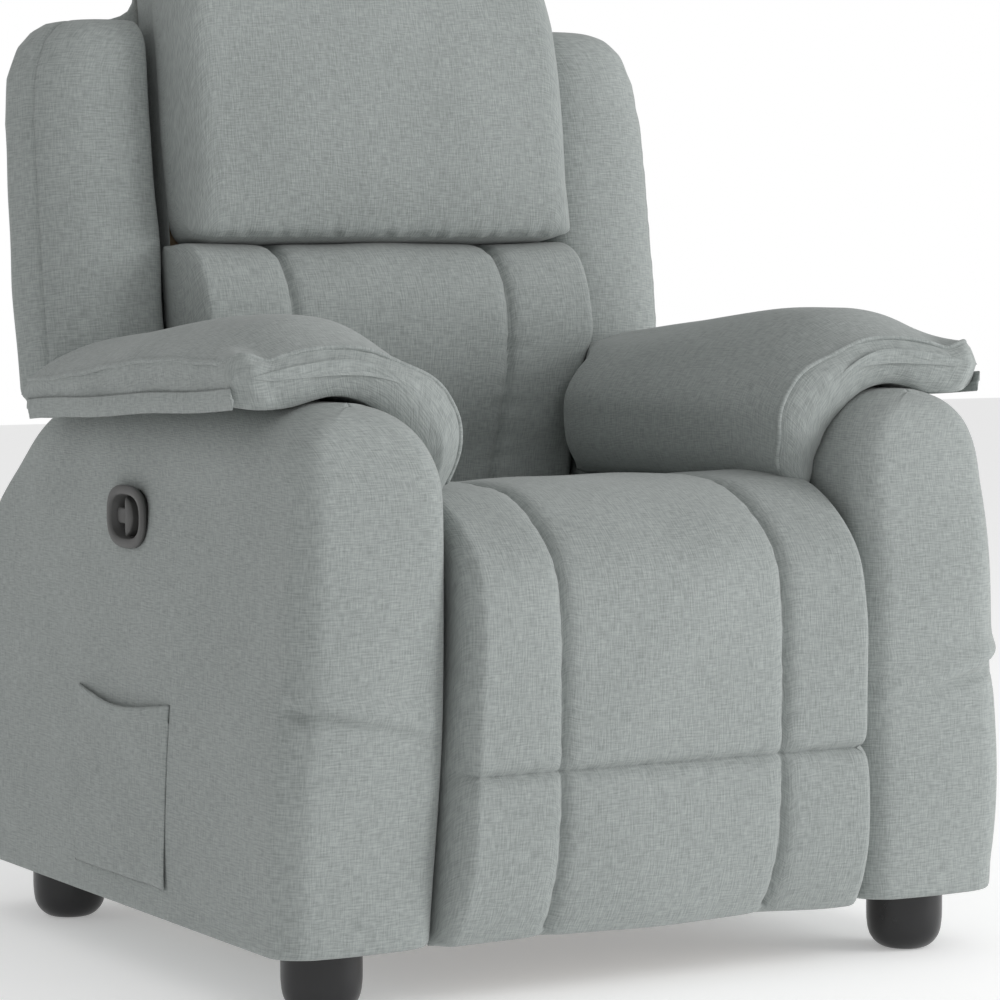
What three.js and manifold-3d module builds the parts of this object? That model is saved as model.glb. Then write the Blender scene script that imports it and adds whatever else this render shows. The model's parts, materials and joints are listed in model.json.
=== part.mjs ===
// Recliner armchair: padded arms, a sliding seat, a back that tips, a footrest on parallel links.
// Millimetres, +Z up, the sitter faces -Y and +X is the sitter's left.
// Drawing heights start at the floor. Drawing depths start at a line through the lumbar cushion,
// and the last line of the file moves the chair so that its origin is at the middle of its base.
import * as THREE from 'three';
import { mergeVertices } from 'three/addons/utils/BufferGeometryUtils.js';
import Module from 'manifold-3d';

const wasm = await Module();
wasm.setup();

// ---------- driving dimensions ----------
const GAP = 0.3; // between pieces that touch
const DEPTH_TO_MIDDLE = 95.5; // moves the drawing so that y = 0 is the middle of the chair's depth
const FOOT = { x: 309, front: -375, rear: 170, radius: 36, height: 58 };
const ARM = { front: -440, board: -395, rear: 275, bottom: 58, top: 526 };
const ARM_FRAME = { inner: 252, outer: 340, rear: 253, top: 478, board: 12, rail: 40 };
const ARM_INNER = 223.5; // half of the clear width between the arms, low down
const SEAT = { half: 207, rear: 58, base: 322, top: 450, nose: -466 };
const FOOTREST = { cushionFront: -462, boardFront: -378, boardBack: -360, bottom: 57, top: 340 };
const SWING = [-455, 405]; // (y, z) of the line that the footrest turns about
const CRANK_PIVOT = [-205, 300]; // (y, z) of the rear crank's pivot on the seat plate
const CRANK_SPACING = 40; // between the two cranks' pivots, along the line from SWING
const CRANK_ANGLE = THREE.MathUtils.degToRad(-58); // of the cranks below the horizontal, at rest
const UPPER_REACH = 217; // from a crank's pivot to the upper coupler
const LOWER_REACH = 262; // from the rear crank's pivot to the lower coupler
const RECLINE = [120, 325]; // (y, z) of the back's hinge
const LEAN = THREE.MathUtils.degToRad(8.3); // of the back at rest
const PLATE = { coupler: 188, crank: 192, seat: 196, thick: 3 }; // layers of sheet steel, in x
const PIN = { radius: 4, hole: 4.4 };
const BEZEL = { y: -99, z: 414.5, face: 366.5, halfLong: 38.5, halfTall: 27, wall: 4, depth: 19.5 };
const POCKET = { front: -210, rear: -10, bottom: 86, top: 255, inner: 376.3, outer: 388.8, cloth: 2.5 };

// ---------- materials ----------
function finish(color, roughness, metalness) {
  return new THREE.MeshStandardMaterial({ color, roughness, metalness });
}

const CLOTH = finish(0x969b99, 0.9, 0);
const PLYWOOD = finish(0xc2a27a, 0.8, 0);
const STEEL = finish(0x3a3d40, 0.45, 0.8);
const SPRING_WIRE = finish(0x6c7074, 0.35, 0.9);
const BLACK_PLASTIC = finish(0x17181a, 0.35, 0);
const GREY_PLASTIC = finish(0x555554, 0.5, 0);
const NYLON = finish(0xd8d6cf, 0.5, 0);

// ---------- helpers ----------
const chair = new THREE.Group();
const backGroup = new THREE.Group(); // its axes lean with the back, from the recline hinge
backGroup.position.set(0, RECLINE[0], RECLINE[1]);
backGroup.rotation.x = -LEAN;
chair.add(backGroup);

const SIDES = [['left', 1], ['right', -1]]; // the sitter's left is +X

function add(name, geometry, material, group = chair) {
  const mesh = new THREE.Mesh(geometry, material);
  mesh.name = name;
  group.add(mesh);
}

// Turns a solid drawn for the sitter's left into its mirror image on the right.
function onSide(geometry, sign) {
  if (sign > 0) return geometry;
  const copy = geometry.index ? geometry.toNonIndexed() : geometry.clone();
  const p = copy.attributes.position;
  for (let i = 0; i < p.count; i += 3) {
    const a = [p.getX(i), p.getY(i), p.getZ(i)];
    p.setXYZ(i, -p.getX(i + 2), p.getY(i + 2), p.getZ(i + 2));
    p.setX(i + 1, -p.getX(i + 1));
    p.setXYZ(i + 2, -a[0], a[1], a[2]);
  }
  copy.computeVertexNormals();
  return copy;
}

function addPair(stem, geometry, material, group = chair) {
  for (const [side, sign] of SIDES) add(`${stem}_${side}`, onSide(geometry, sign), material, group);
}

function box(x0, x1, y0, y1, z0, z1) {
  return new THREE.BoxGeometry(x1 - x0, y1 - y0, z1 - z0)
    .translate((x0 + x1) / 2, (y0 + y1) / 2, (z0 + z1) / 2);
}

// Rounds every corner of an outline with a short curve that starts and ends `radius` from it.
function rounded(points, radius, divisions = 3) {
  const outline = [];
  const corners = points.map(([a, b]) => new THREE.Vector2(a, b));
  corners.forEach((corner, i) => {
    const before = corners.at(i - 1);
    const after = corners[(i + 1) % corners.length];
    const reach = Math.min(radius, corner.distanceTo(before) / 2.2, corner.distanceTo(after) / 2.2);
    const start = corner.clone().lerp(before, reach / corner.distanceTo(before));
    const end = corner.clone().lerp(after, reach / corner.distanceTo(after));
    outline.push(...new THREE.QuadraticBezierCurve(start, corner, end).getPoints(divisions));
  });
  return outline.map((p) => [p.x, p.y]);
}

const along = ([a, b], angle, reach) => [a + reach * Math.cos(angle), b + reach * Math.sin(angle)];

function circle([a, b], radius, divisions = 16) {
  const turn = (2 * Math.PI) / divisions;
  return Array.from({ length: divisions }, (_, i) => along([a, b], i * turn, radius));
}

// A solid with a flat outline, pushed along one axis from `from` to `to`. The outline's points are
// (y, z) along x and (x, z) along y. A bevel rounds the edges of both ends, inside the outline.
function push(axis, points, from, to, { holes = [], bevel = 0, bevelSteps = 2 } = {}) {
  const vector = ([a, b]) => (axis === 'x' ? new THREE.Vector2(a, b) : new THREE.Vector2(b, a));
  const vectors = (list) => list.map(vector);
  const shape = new THREE.Shape(vectors(points));
  shape.holes = holes.map((hole) => new THREE.Path(vectors(hole)));
  const geometry = new THREE.ExtrudeGeometry(shape, {
    depth: to - from - 2 * bevel, bevelEnabled: bevel > 0, bevelThickness: bevel,
    bevelSize: bevel, bevelOffset: -bevel, bevelSegments: bevelSteps, curveSegments: 8,
  });
  geometry.translate(0, 0, from + bevel);
  const order = axis === 'x' ? [[0, 0, 1], [1, 0, 0], [0, 1, 0]] : [[0, 1, 0], [0, 0, 1], [1, 0, 0]];
  const [r0, r1, r2] = order;
  return geometry.applyMatrix4(new THREE.Matrix4().set(...r0, 0, ...r1, 0, ...r2, 0, 0, 0, 0, 1));
}

function solid(geometry) {
  const bare = new THREE.BufferGeometry();
  bare.setAttribute('position', geometry.attributes.position.clone());
  if (geometry.index) bare.setIndex(geometry.index.clone());
  const merged = mergeVertices(bare, 1e-3);
  return new wasm.Manifold(new wasm.Mesh({
    numProp: 3,
    vertProperties: Float32Array.from(merged.attributes.position.array),
    triVerts: Uint32Array.from(merged.index.array),
  }));
}

function geometryOf(manifold) {
  const mesh = manifold.getMesh();
  const geometry = new THREE.BufferGeometry();
  const points = new Float32Array(mesh.numVert * 3);
  for (let i = 0; i < mesh.numVert; i += 1) {
    for (let k = 0; k < 3; k += 1) points[3 * i + k] = mesh.vertProperties[i * mesh.numProp + k];
  }
  geometry.setAttribute('position', new THREE.BufferAttribute(points, 3));
  geometry.setIndex(new THREE.BufferAttribute(Uint32Array.from(mesh.triVerts), 1));
  return geometry.toNonIndexed();
}

const subtract = (body, tool) => geometryOf(solid(body).subtract(solid(tool)));
const unite = (...bodies) => geometryOf(bodies.map(solid).reduce((sum, body) => sum.add(body)));
const intersect = (a, b) => geometryOf(solid(a).intersect(solid(b)));

// ---------- feet ----------
function foot() {
  const { radius, height } = FOOT;
  const top = height - GAP;
  const profile = [[0, 0], [radius - 10, 0], [radius - 3, 4], [radius, 13], [radius, 50], [radius - 3, top],
    [0, top]];
  return new THREE.LatheGeometry(profile.map(([r, z]) => new THREE.Vector2(r, z)), 20).rotateX(Math.PI / 2);
}

function addFeet() {
  for (const [place, y] of [['front', FOOT.front], ['rear', FOOT.rear]]) {
    for (const [side, sign] of SIDES) {
      add(`foot_${place}_${side}`, foot().translate(sign * FOOT.x, y, 0), BLACK_PLASTIC);
    }
  }
}

// ---------- arms ----------
// The arm seen from the side: a level top, a slope down behind the armrest pad, an upright rear.
const ARM_SIDE = [[ARM.front, ARM.bottom], [ARM.rear, ARM.bottom], [ARM.rear, 330], [262, 368], [235, 404],
  [200, 437], [163, 464], [80, ARM.top], [ARM.front, ARM.top]];

// The arm seen from the front: nearly upright sides under a round top that leans inwards.
const ARM_SECTION = [[ARM_INNER, 58], [376, 58], [376, 262], [370, 335], [361, 432], [350, 476], [327, 509],
  [294, ARM.top], [258, 520], [228, 494], [213, 450], [211.5, 400], [212, 350], [ARM_INNER, 300]];

// The side outline of the plywood frame, or of the room it needs inside the padding.
function frameOutline(front, low, room = 0) {
  const slope = [[240, 352], [214, 384], [181, 414], [146, 438], [88, ARM_FRAME.top]];
  const rear = ARM_FRAME.rear + room;
  return [[front, low], [rear, low], [rear, 318], ...slope.map(([y, z]) => [y, z + room]),
    [front, ARM_FRAME.top + room]];
}

// Two plywood boards with rails between them, and a block over each foot.
function armFrame() {
  const { inner, outer, rear, top, board, rail } = ARM_FRAME;
  const front = ARM.board + rail;
  const hollow = [[front, 20], [rear - rail, 20], [rear - rail, 330], [88, top - rail], [front, top - rail]];
  const block = (y0, y1) => box(inner + board - 1, outer - board + 1, y0, y1, ARM.bottom, ARM.bottom + rail);
  const shell = subtract(
    push('x', frameOutline(ARM.board, ARM.bottom), inner, outer),
    push('x', hollow, inner + board, outer - board),
  );
  return unite(shell, block(front, FOOT.front + 50), block(FOOT.rear - 45, FOOT.rear + 44));
}

function addArms() {
  const { front, board, rear, bottom } = ARM;
  const { inner, outer } = ARM_FRAME;
  const body = intersect(push('y', ARM_SECTION, board, rear + 10), push('x', ARM_SIDE, 150, 450));
  const outside = intersect(body, box(outer + GAP, 400, board, rear, 0, 600));
  const inside = intersect(body, box(150, inner - GAP, board, rear, 0, 600));
  const middle = intersect(body, box(inner, outer, board, rear, bottom + 1, 600));
  const frameRoom = push('x', frameOutline(board - 5, 0, 2 * GAP), inner - 5, outer + 5);
  addPair('arm_frame', armFrame(), PLYWOOD);
  addPair('arm_padding_inner', inside, CLOTH);
  addPair('arm_padding_top', subtract(middle, frameRoom), CLOTH);
  addPair('arm_padding_front', push('y', ARM_SECTION, front, board - GAP, { bevel: 16 }), CLOTH);
  add('arm_padding_outer_left', outside, CLOTH);
  const bezelHole = bezelOval(BEZEL.halfLong + GAP, BEZEL.halfTall + GAP, outer - 5, 400);
  add('arm_padding_outer_right', onSide(subtract(outside, bezelHole), -1), CLOTH);
}

// A saddle that lies over the round top of the arm and hangs down on its inner side. Its rear inner
// corner is cut away for the lumbar cushion.
function addArmrestPads() {
  const section = [[384, 514], [390, 524], [390, 562], [374, 584], [335, 603], [290, 607], [245, 597],
    [205, 566], [179, 518], [171, 478], [176, 458], [209, 456], [224, 498], [255, 525], [294, 531],
    [330, 518]];
  const pad = push('y', section, -382, 88, { bevel: 10 });
  addPair('armrest_pad', subtract(pad, box(150, 213, 38, 120, 400, 620)), CLOTH);
}

// ---------- release handle and pocket, on the sitter's right arm ----------
// Drawn on +X like the arm, and mirrored when they are added.
function bezelOval(halfLong, halfTall, x0, x1, bevel = 0) {
  const straight = halfLong - halfTall;
  const half = (centre, from) => Array.from({ length: 11 }, (_, i) => from + (i * Math.PI) / 10)
    .map((t) => [centre + halfTall * Math.cos(t), BEZEL.z + halfTall * Math.sin(t)]);
  const outline = [...half(BEZEL.y + straight, -Math.PI / 2), ...half(BEZEL.y - straight, Math.PI / 2)];
  return push('x', outline, x0, x1, { bevel });
}

function addBezel() {
  const { face, halfLong, halfTall, wall, depth } = BEZEL;
  const cup = bezelOval(halfLong, halfTall, face - depth - wall, face + 1);
  const rim = bezelOval(halfLong + 2, halfTall + 2, face, face + 3, 1);
  const dish = bezelOval(halfLong - wall, halfTall - wall, face - depth, face + 10);
  add('handle_bezel', onSide(subtract(unite(cup, rim), dish), -1), GREY_PLASTIC);
}

// A T-shaped paddle: its stem runs back to an upright hinge pin.
function addLever() {
  const { y, z } = BEZEL;
  const stem = box(355, 365, y + 1, y + 26, z - 7, z + 7);
  const paddle = box(354.5, 365.5, y - 9, y + 3, z - 20, z + 20);
  const hub = new THREE.CylinderGeometry(5, 5, 14, 16).rotateX(Math.PI / 2).translate(359, y + 26, z);
  add('release_lever', onSide(unite(stem, paddle, hub), -1), GREY_PLASTIC);
}

function addPocket() {
  const { front, rear, bottom, top, inner, outer, cloth } = POCKET;
  const pouch = box(inner, outer, front, rear, bottom, top);
  const room = box(inner - 5, outer - cloth, front + cloth, rear - cloth, bottom + cloth, top + 5);
  add('side_pocket', onSide(subtract(pouch, room), -1), CLOTH);
}

// ---------- base ----------
function addBase() {
  const half = ARM_INNER - GAP;
  add('base_rail_front', box(-half, half, -40, -15, 62, 100), PLYWOOD);
  add('base_rail_rear', box(-half, half, 175, 200, 62, 100), PLYWOOD);
  add('rear_kick_panel', push('y', rounded([[-half, 75], [half, 75], [half, 295], [207, 330], [207, 395],
    [-207, 395], [-207, 330], [-half, 295]], 8), 205, 220, { bevel: 3 }), CLOTH);
  const channel = [[203, 240], [half, 240], [half, 270], [203, 270], [203, 267], [219.7, 267], [219.7, 243],
    [203, 243]];
  addPair('seat_track', push('y', channel, -330, 200), STEEL);
}

// ---------- footrest linkage ----------
// The cranks stay parallel to the line from SWING to the footrest's pivots, and the couplers stay
// parallel to the line from SWING to the cranks' pivots, so the footrest turns about SWING.
const BACK_ANGLE = Math.atan2(CRANK_PIVOT[1] - SWING[1], CRANK_PIVOT[0] - SWING[0]);
const REAR_PIVOT = CRANK_PIVOT;
const FRONT_PIVOT = along(CRANK_PIVOT, BACK_ANGLE, CRANK_SPACING);
const UPPER_ON_REAR = along(REAR_PIVOT, CRANK_ANGLE, UPPER_REACH);
const UPPER_ON_FRONT = along(FRONT_PIVOT, CRANK_ANGLE, UPPER_REACH);
const LOWER_ON_REAR = along(REAR_PIVOT, CRANK_ANGLE, LOWER_REACH);
const UPPER_END = along(SWING, CRANK_ANGLE, UPPER_REACH);
const LOWER_END = along(SWING, CRANK_ANGLE, LOWER_REACH);
const BAR_HALF = 9;

// A flat bar with round ends between two (y, z) points.
function barOutline(a, b) {
  const angle = Math.atan2(b[1] - a[1], b[0] - a[0]);
  const sixth = Math.PI / 6;
  const end = (at, from) => [0, 1, 2, 3, 4, 5, 6].map((i) => along(at, from + i * sixth, BAR_HALF));
  return [...end(b, angle - Math.PI / 2), ...end(a, angle + Math.PI / 2)];
}

const pin = ([y, z], x0, x1) => push('x', circle([y, z], PIN.radius), x0, x1);
const hole = (at) => circle(at, PIN.hole);

function crank(pivot, end, couplerPoints) {
  const { crank: x, coupler, seat, thick } = PLATE;
  const bar = push('x', barOutline(pivot, end), x, x + thick);
  const inward = couplerPoints.map((at) => pin(at, coupler - 1.5, x + 1));
  return unite(bar, pin(pivot, x + 1, seat + thick + 1.5), ...inward);
}

function addLinkage() {
  const { coupler, crank: crankX, thick } = PLATE;
  addPair('crank_rear', crank(REAR_PIVOT, LOWER_ON_REAR, [UPPER_ON_REAR, LOWER_ON_REAR]), STEEL);
  addPair('crank_front', crank(FRONT_PIVOT, UPPER_ON_FRONT, [UPPER_ON_FRONT]), STEEL);
  addPair('coupler_upper', push('x', barOutline(UPPER_ON_FRONT, UPPER_END), coupler, coupler + thick,
    { holes: [UPPER_ON_FRONT, UPPER_ON_REAR, UPPER_END].map(hole) }), STEEL);
  addPair('coupler_lower', push('x', barOutline(LOWER_ON_REAR, LOWER_END), coupler, coupler + thick,
    { holes: [LOWER_ON_REAR, LOWER_END].map(hole) }), STEEL);
  const tubeAt = along(FRONT_PIVOT, CRANK_ANGLE, 76);
  add('torque_tube', push('x', circle(tubeAt, 9), GAP - crankX, crankX - GAP), STEEL);
}

// ---------- seat ----------
// A zigzag spring laid from rail to rail, made of a six-sided wire.
function zigzagSpring(x) {
  const turns = 9;
  const from = -342;
  const length = 394;
  const points = Array.from({ length: 2 * turns + 1 }, (_, i) => {
    const sway = i === 0 || i === 2 * turns ? 0 : 22 * (i % 2 ? 1 : -1);
    return new THREE.Vector3(x + sway, from + (length * i) / (2 * turns), 318.6);
  });
  const section = new THREE.Shape(circle([0, 0], 1.9, 6).map(([a, b]) => new THREE.Vector2(a, b)));
  const route = new THREE.CatmullRomCurve3(points);
  const steps = 4 * turns + 2;
  return new THREE.ExtrudeGeometry(section, { steps, bevelEnabled: false, extrudePath: route });
}

function addSeat() {
  const { seat: x, thick } = PLATE;
  const side = [[-335, 284], [-222, 276], [-150, 262], [-105, 243], [100, 243], [108, 300], [134, 310],
    [137, 325], [132, 337], [120, 342], [108, 337], [103, 325], [98, 318], [-335, 318]];
  const holes = [REAR_PIVOT, FRONT_PIVOT, RECLINE].map(hole);
  const runner = rounded([[-90, 243.6], [90, 243.6], [90, 266.4], [-90, 266.4]], 4, 2);
  addPair('seat_side_plate', push('x', side, x, x + thick, { holes }), STEEL);
  addPair('seat_glide', push('x', runner, x + thick + GAP, 219), NYLON);
  add('seat_front_rail', box(GAP - x, x - GAP, -345, -320, 292, 316), PLYWOOD);
  add('seat_rear_rail', box(GAP - x, x - GAP, 28, 53, 292, 316), PLYWOOD);
  [['left', 110], ['middle', 0], ['right', -110]].forEach(([place, at]) => {
    add(`seat_spring_${place}`, zigzagSpring(at), SPRING_WIRE);
  });
  const { half, rear, base, top, nose } = SEAT;
  const profile = [[rear, base], [rear, 416], [0, 424], [-200, 441], [-310, top], [-385, 447], [-436, 436],
    [nose, 408], [nose, 372], [-455, 348], [-354, 348], [-347, base]];
  add('seat_cushion', push('x', profile, -half, half, { bevel: 14 }), CLOTH);
}

// ---------- back, drawn in its own leaning axes with the recline hinge at (0, 0) ----------
// In these outlines the first number runs rearwards and the second runs up the back.
const RAIL = { front: -15, rear: 10, inner: 195.3, outer: 209 };

function addBackFrame() {
  const { crank: x, seat, thick } = PLATE;
  const strip = [[-13, 4], [-10, -9], [0, -13], [10, -9], [13, 4], [8, 40], [8, 240], [-13, 240]];
  const bracket = unite(push('x', strip, x, x + thick), pin([0, 0], x + 1, seat + thick + 1.5));
  addPair('back_bracket', bracket, STEEL, backGroup);
  addPair('back_side_rail', box(RAIL.inner, RAIL.outer, RAIL.front, RAIL.rear, 35, 600), PLYWOOD, backGroup);
  const between = RAIL.inner - GAP;
  const rails = [['bottom', 45, 70, x - GAP], ['middle', 322, 347, between], ['top', 572, 597, between]];
  for (const [place, low, high, half] of rails) {
    add(`back_rail_${place}`, box(-half, half, RAIL.front, RAIL.rear, low, high), PLYWOOD, backGroup);
  }
  const edge = [[205, 62], [205, 176], [332, 190], [340, 300], [334, 500], [300, 556], [222, 572],
    [205, 625]];
  const outline = rounded([...edge, ...edge.map(([a, b]) => [-a, b]).reverse()], 14);
  add('back_rear_panel', push('y', outline, RAIL.rear + GAP, 28, { bevel: 5 }), CLOTH, backGroup);
}

function addBackCushions() {
  const rear = RAIL.front - GAP;
  const lumbar = [[rear, 30], [-52, 30], [-63, 62], [-74, 114], [-92, 142], [-110, 190], [-116, 245],
    [-107, 295], [-80, 328], [rear, 328]];
  const pillow = [[rear, 334], [-76, 334], [-96, 348], [-105, 420], [-105, 500], [-97, 575], [-78, 622],
    [-46, 644], [-10, 642], [8, 628], [8, 602], [rear, 602]];
  add('lumbar_cushion', push('x', lumbar, -208, 208, { bevel: 12 }), CLOTH, backGroup);
  add('head_pillow', push('x', pillow, -217, 217, { bevel: 16 }), CLOTH, backGroup);
  const wing = [[222, 190], [362, 190], [364, 300], [362, 500], [346, 542], [300, 566], [222, 562]];
  addPair('wing', push('y', rounded(wing, 12), -44, RAIL.rear, { bevel: 9 }), CLOTH, backGroup);
}

// ---------- footrest ----------
function addFootrest() {
  const { boardFront, boardBack, cushionFront, bottom, top } = FOOTREST;
  add('footrest_board', box(-200, 200, boardFront, boardBack, 70, 328), PLYWOOD);
  const outline = [[-222, bottom], [222, bottom], [208.5, top], [-208.5, top]];
  add('footrest_cushion', push('y', outline, cushionFront, boardFront - GAP, { bevel: 12 }), CLOTH);
  const { crank: x, coupler, thick } = PLATE;
  const flange = [[boardBack + GAP, 150], [-340, 160], [-330, 190], [-338, 235], [boardBack + GAP, 252]];
  const bar = barOutline(UPPER_END, LOWER_END);
  const plate = unite(push('x', flange, x, x + thick), push('x', bar, x, x + thick));
  const pins = [UPPER_END, LOWER_END].map((at) => pin(at, coupler - 1.5, x + 1));
  addPair('footrest_bracket', unite(plate, ...pins), STEEL);
}

addFeet();
addArms();
addArmrestPads();
addBezel();
addLever();
addPocket();
addBase();
addLinkage();
addSeat();
addBackFrame();
addBackCushions();
addFootrest();

chair.position.y = DEPTH_TO_MIDDLE;
export default chair;
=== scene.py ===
# %% [markdown]
# # A recliner armchair, dressed over its working frame
# The frame comes first. It holds the plywood, the steel linkage, the feet and plain blocks for the
# padding, each on the body that it moves with. This lesson keeps the hard parts, gives them real
# finishes, and sews new upholstery where the blocks are. The box of the frame is kept, because the
# upholstery may not make the chair bigger.

# %% Load the frame
import json
import math

import bmesh
import bpy
import numpy as np
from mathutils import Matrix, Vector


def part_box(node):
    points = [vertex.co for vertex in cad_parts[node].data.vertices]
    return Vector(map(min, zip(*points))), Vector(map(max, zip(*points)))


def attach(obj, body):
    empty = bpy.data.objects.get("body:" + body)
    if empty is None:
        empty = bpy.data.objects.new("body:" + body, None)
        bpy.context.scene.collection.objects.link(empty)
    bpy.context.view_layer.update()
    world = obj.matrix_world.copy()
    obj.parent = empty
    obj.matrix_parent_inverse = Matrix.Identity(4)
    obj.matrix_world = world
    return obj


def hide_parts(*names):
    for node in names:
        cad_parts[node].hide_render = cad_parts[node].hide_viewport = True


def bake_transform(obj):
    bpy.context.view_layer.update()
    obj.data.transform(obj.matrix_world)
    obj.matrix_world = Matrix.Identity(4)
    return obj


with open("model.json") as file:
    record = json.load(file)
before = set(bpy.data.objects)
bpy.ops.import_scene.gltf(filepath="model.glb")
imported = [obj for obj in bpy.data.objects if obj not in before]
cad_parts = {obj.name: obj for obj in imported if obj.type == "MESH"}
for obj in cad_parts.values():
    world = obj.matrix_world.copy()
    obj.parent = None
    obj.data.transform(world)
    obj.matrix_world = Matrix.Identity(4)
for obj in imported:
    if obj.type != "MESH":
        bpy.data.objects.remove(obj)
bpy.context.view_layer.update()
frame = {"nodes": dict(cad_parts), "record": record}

# %% [markdown]
# Depths below are written as an upholsterer would measure them, from a line through the lumbar
# cushion, with the front of the chair on the negative side. The frame's own zero is the middle of
# the chair, so one number moves every depth. It comes from a foot, whose drawn place is known.

# %% The depth line, and the lean of the back
FOOT_DEPTH = -0.375
foot_low, foot_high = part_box("foot_front_left")
DEPTH_LINE = (foot_low.y + foot_high.y) / 2 - FOOT_DEPTH
HINGE_DEPTH, HINGE_HEIGHT = 0.120, 0.325
LEAN = math.radians(8.3)
SIDES = (("left", 1), ("right", -1))
print("depth line", round(DEPTH_LINE, 4))


def at_depth(x, depth, height):
    """Points of the room: the depth line is added to every depth."""
    x, depth, height = np.broadcast_arrays(x, depth, height)
    return np.stack([x, depth + DEPTH_LINE, height], axis=-1)


def on_back(x, rearward, up):
    """Points of the leaning back: from the hinge, some way rearward and some way up the back."""
    depth = HINGE_DEPTH + rearward * math.cos(LEAN) + up * math.sin(LEAN)
    height = HINGE_HEIGHT - rearward * math.sin(LEAN) + up * math.cos(LEAN)
    return at_depth(x, depth, height)


# %% [markdown]
# Most pieces here are one closed grid of points: rows along the piece and columns around it. Three
# small tools draw them. The first runs a smooth line through a few measured points. The second
# pairs a front line with a rear line into one closed outline, with a spine midway between the two.
# The third carries such an outline along the piece and rounds both ends by shrinking it onto its
# spine. The end closes without a hole, because each front point meets its rear partner there.

# %% Smooth lines and closed outlines
def smooth_line(points, count):
    """A Catmull-Rom line through the points, cut at `count` places with even spacing along it.
    Between two points it is 0.5 (2b + (c-a)t + (2a-5b+4c-d)t^2 + (3b-3c+d-a)t^3)."""
    points = np.asarray(points, float)
    padded = np.vstack([2 * points[0] - points[1], points, 2 * points[-1] - points[-2]])
    a, b, c, d = (padded[k:len(padded) - 3 + k, None, :] for k in range(4))
    t = np.linspace(0, 1, 24, endpoint=False)[None, :, None]
    cubic = (2 * b + (c - a) * t + (2 * a - 5 * b + 4 * c - d) * t**2 + (3 * b - 3 * c + d - a) * t**3) / 2
    line = np.vstack([cubic.reshape(-1, points.shape[1]), points[-1:]])
    walked = np.concatenate([[0], np.cumsum(np.linalg.norm(np.diff(line, axis=0), axis=1))])
    places = np.linspace(0, walked[-1], count)
    return np.stack([np.interp(places, walked, line[:, k]) for k in range(points.shape[1])], axis=1)


def two_sided(front, rear, count, trim=0.06):
    """(outline, spine): both lines run between the same two ends. The outline goes up the front line
    and back down the rear one, and each point's spine point is midway between it and its partner."""
    front, rear = smooth_line(front, count), smooth_line(rear, count)
    middle = (front + rear) / 2
    steps = np.linspace(0, 1, count)
    inner = trim + (1 - 2 * trim) * steps
    spine = np.stack([np.interp(inner, steps, middle[:, k]) for k in range(2)], axis=1)
    return np.vstack([front, rear[-2:0:-1]]), np.vstack([spine, spine[-2:0:-1]])


def carry(outline, spine, low, high, edge, power=2.0, rows=60, edge_rows=10):
    """(along, section, share): the outline carried from low to high. Over the last `edge` at each end
    it shrinks onto its spine as a superellipse, share = (1 - s^power)^(1/power)."""
    edges = np.broadcast_to(np.asarray(edge, float), 2)
    turn = np.linspace(0, math.pi / 2, edge_rows + 1)
    out, share = np.sin(turn) ** (2 / power), np.cos(turn) ** (2 / power)
    share[-1] = 0
    body = np.linspace(low + edges[0], high - edges[1], rows)
    along = np.concatenate([low + edges[0] * (1 - out[::-1]), body[1:-1], high - edges[1] * (1 - out)])
    share = np.concatenate([share[::-1], np.ones(rows - 2), share])
    section = spine + (outline - spine) * share[:, None, None]
    return np.repeat(along[:, None], len(outline), axis=1), section, share[:, None]


# %% [markdown]
# A grid becomes a mesh in one step. Its UV map is laid out in metres of cloth, so a weave drawn on
# it has the same thread size on every piece. Points that meet at a closed end are welded, and the
# faces are turned outwards after that.

# %% From a grid to a mesh
def cloth_lengths(points):
    """UV in metres: across is the walk around each row, along is the mean walk down the columns."""
    closed = np.concatenate([points, points[:, :1]], axis=1)
    across = np.concatenate([np.zeros((len(points), 1)),
                             np.cumsum(np.linalg.norm(np.diff(closed, axis=1), axis=2), axis=1)], axis=1)
    across -= across[:, -1:] / 2
    steps = np.linalg.norm(np.diff(closed, axis=0), axis=2).mean(axis=1)
    down = np.concatenate([[0], np.cumsum(steps)])
    return np.stack([across, np.repeat(down[:, None], closed.shape[1], axis=1)], axis=-1)


def piece(name, points, material, uv=None):
    """A closed tube of quads from a grid (rows, around, 3); each row's last point joins its first."""
    rows, around = points.shape[:2]
    uv = cloth_lengths(points) if uv is None else uv
    index = np.arange(rows * around).reshape(rows, around)
    beside = np.roll(index, -1, axis=1)
    faces = np.stack([index[:-1], beside[:-1], beside[1:], index[1:]], axis=-1).reshape(-1, 4)
    corners = np.stack([uv[:-1, :-1], uv[:-1, 1:], uv[1:, 1:], uv[1:, :-1]], axis=2).reshape(-1, 2)
    mesh = bpy.data.meshes.new(name)
    mesh.from_pydata(points.reshape(-1, 3).tolist(), [], faces.tolist())
    mesh.uv_layers.new(name="cloth").data.foreach_set("uv", corners.astype(np.float32).ravel())
    weld(mesh)
    mesh.polygons.foreach_set("use_smooth", np.ones(len(mesh.polygons), bool))
    mesh.materials.append(material)
    made = bpy.data.objects.new(name, mesh)
    bpy.context.scene.collection.objects.link(made)
    print(name, len(mesh.polygons), "faces")
    return made


def weld(mesh):
    """Joins points that meet, drops faces with no area and turns the rest outwards."""
    work = bmesh.new()
    work.from_mesh(mesh)
    bmesh.ops.remove_doubles(work, verts=work.verts, dist=2e-5)
    bmesh.ops.recalc_face_normals(work, faces=work.faces)
    work.to_mesh(mesh)
    work.free()


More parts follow.
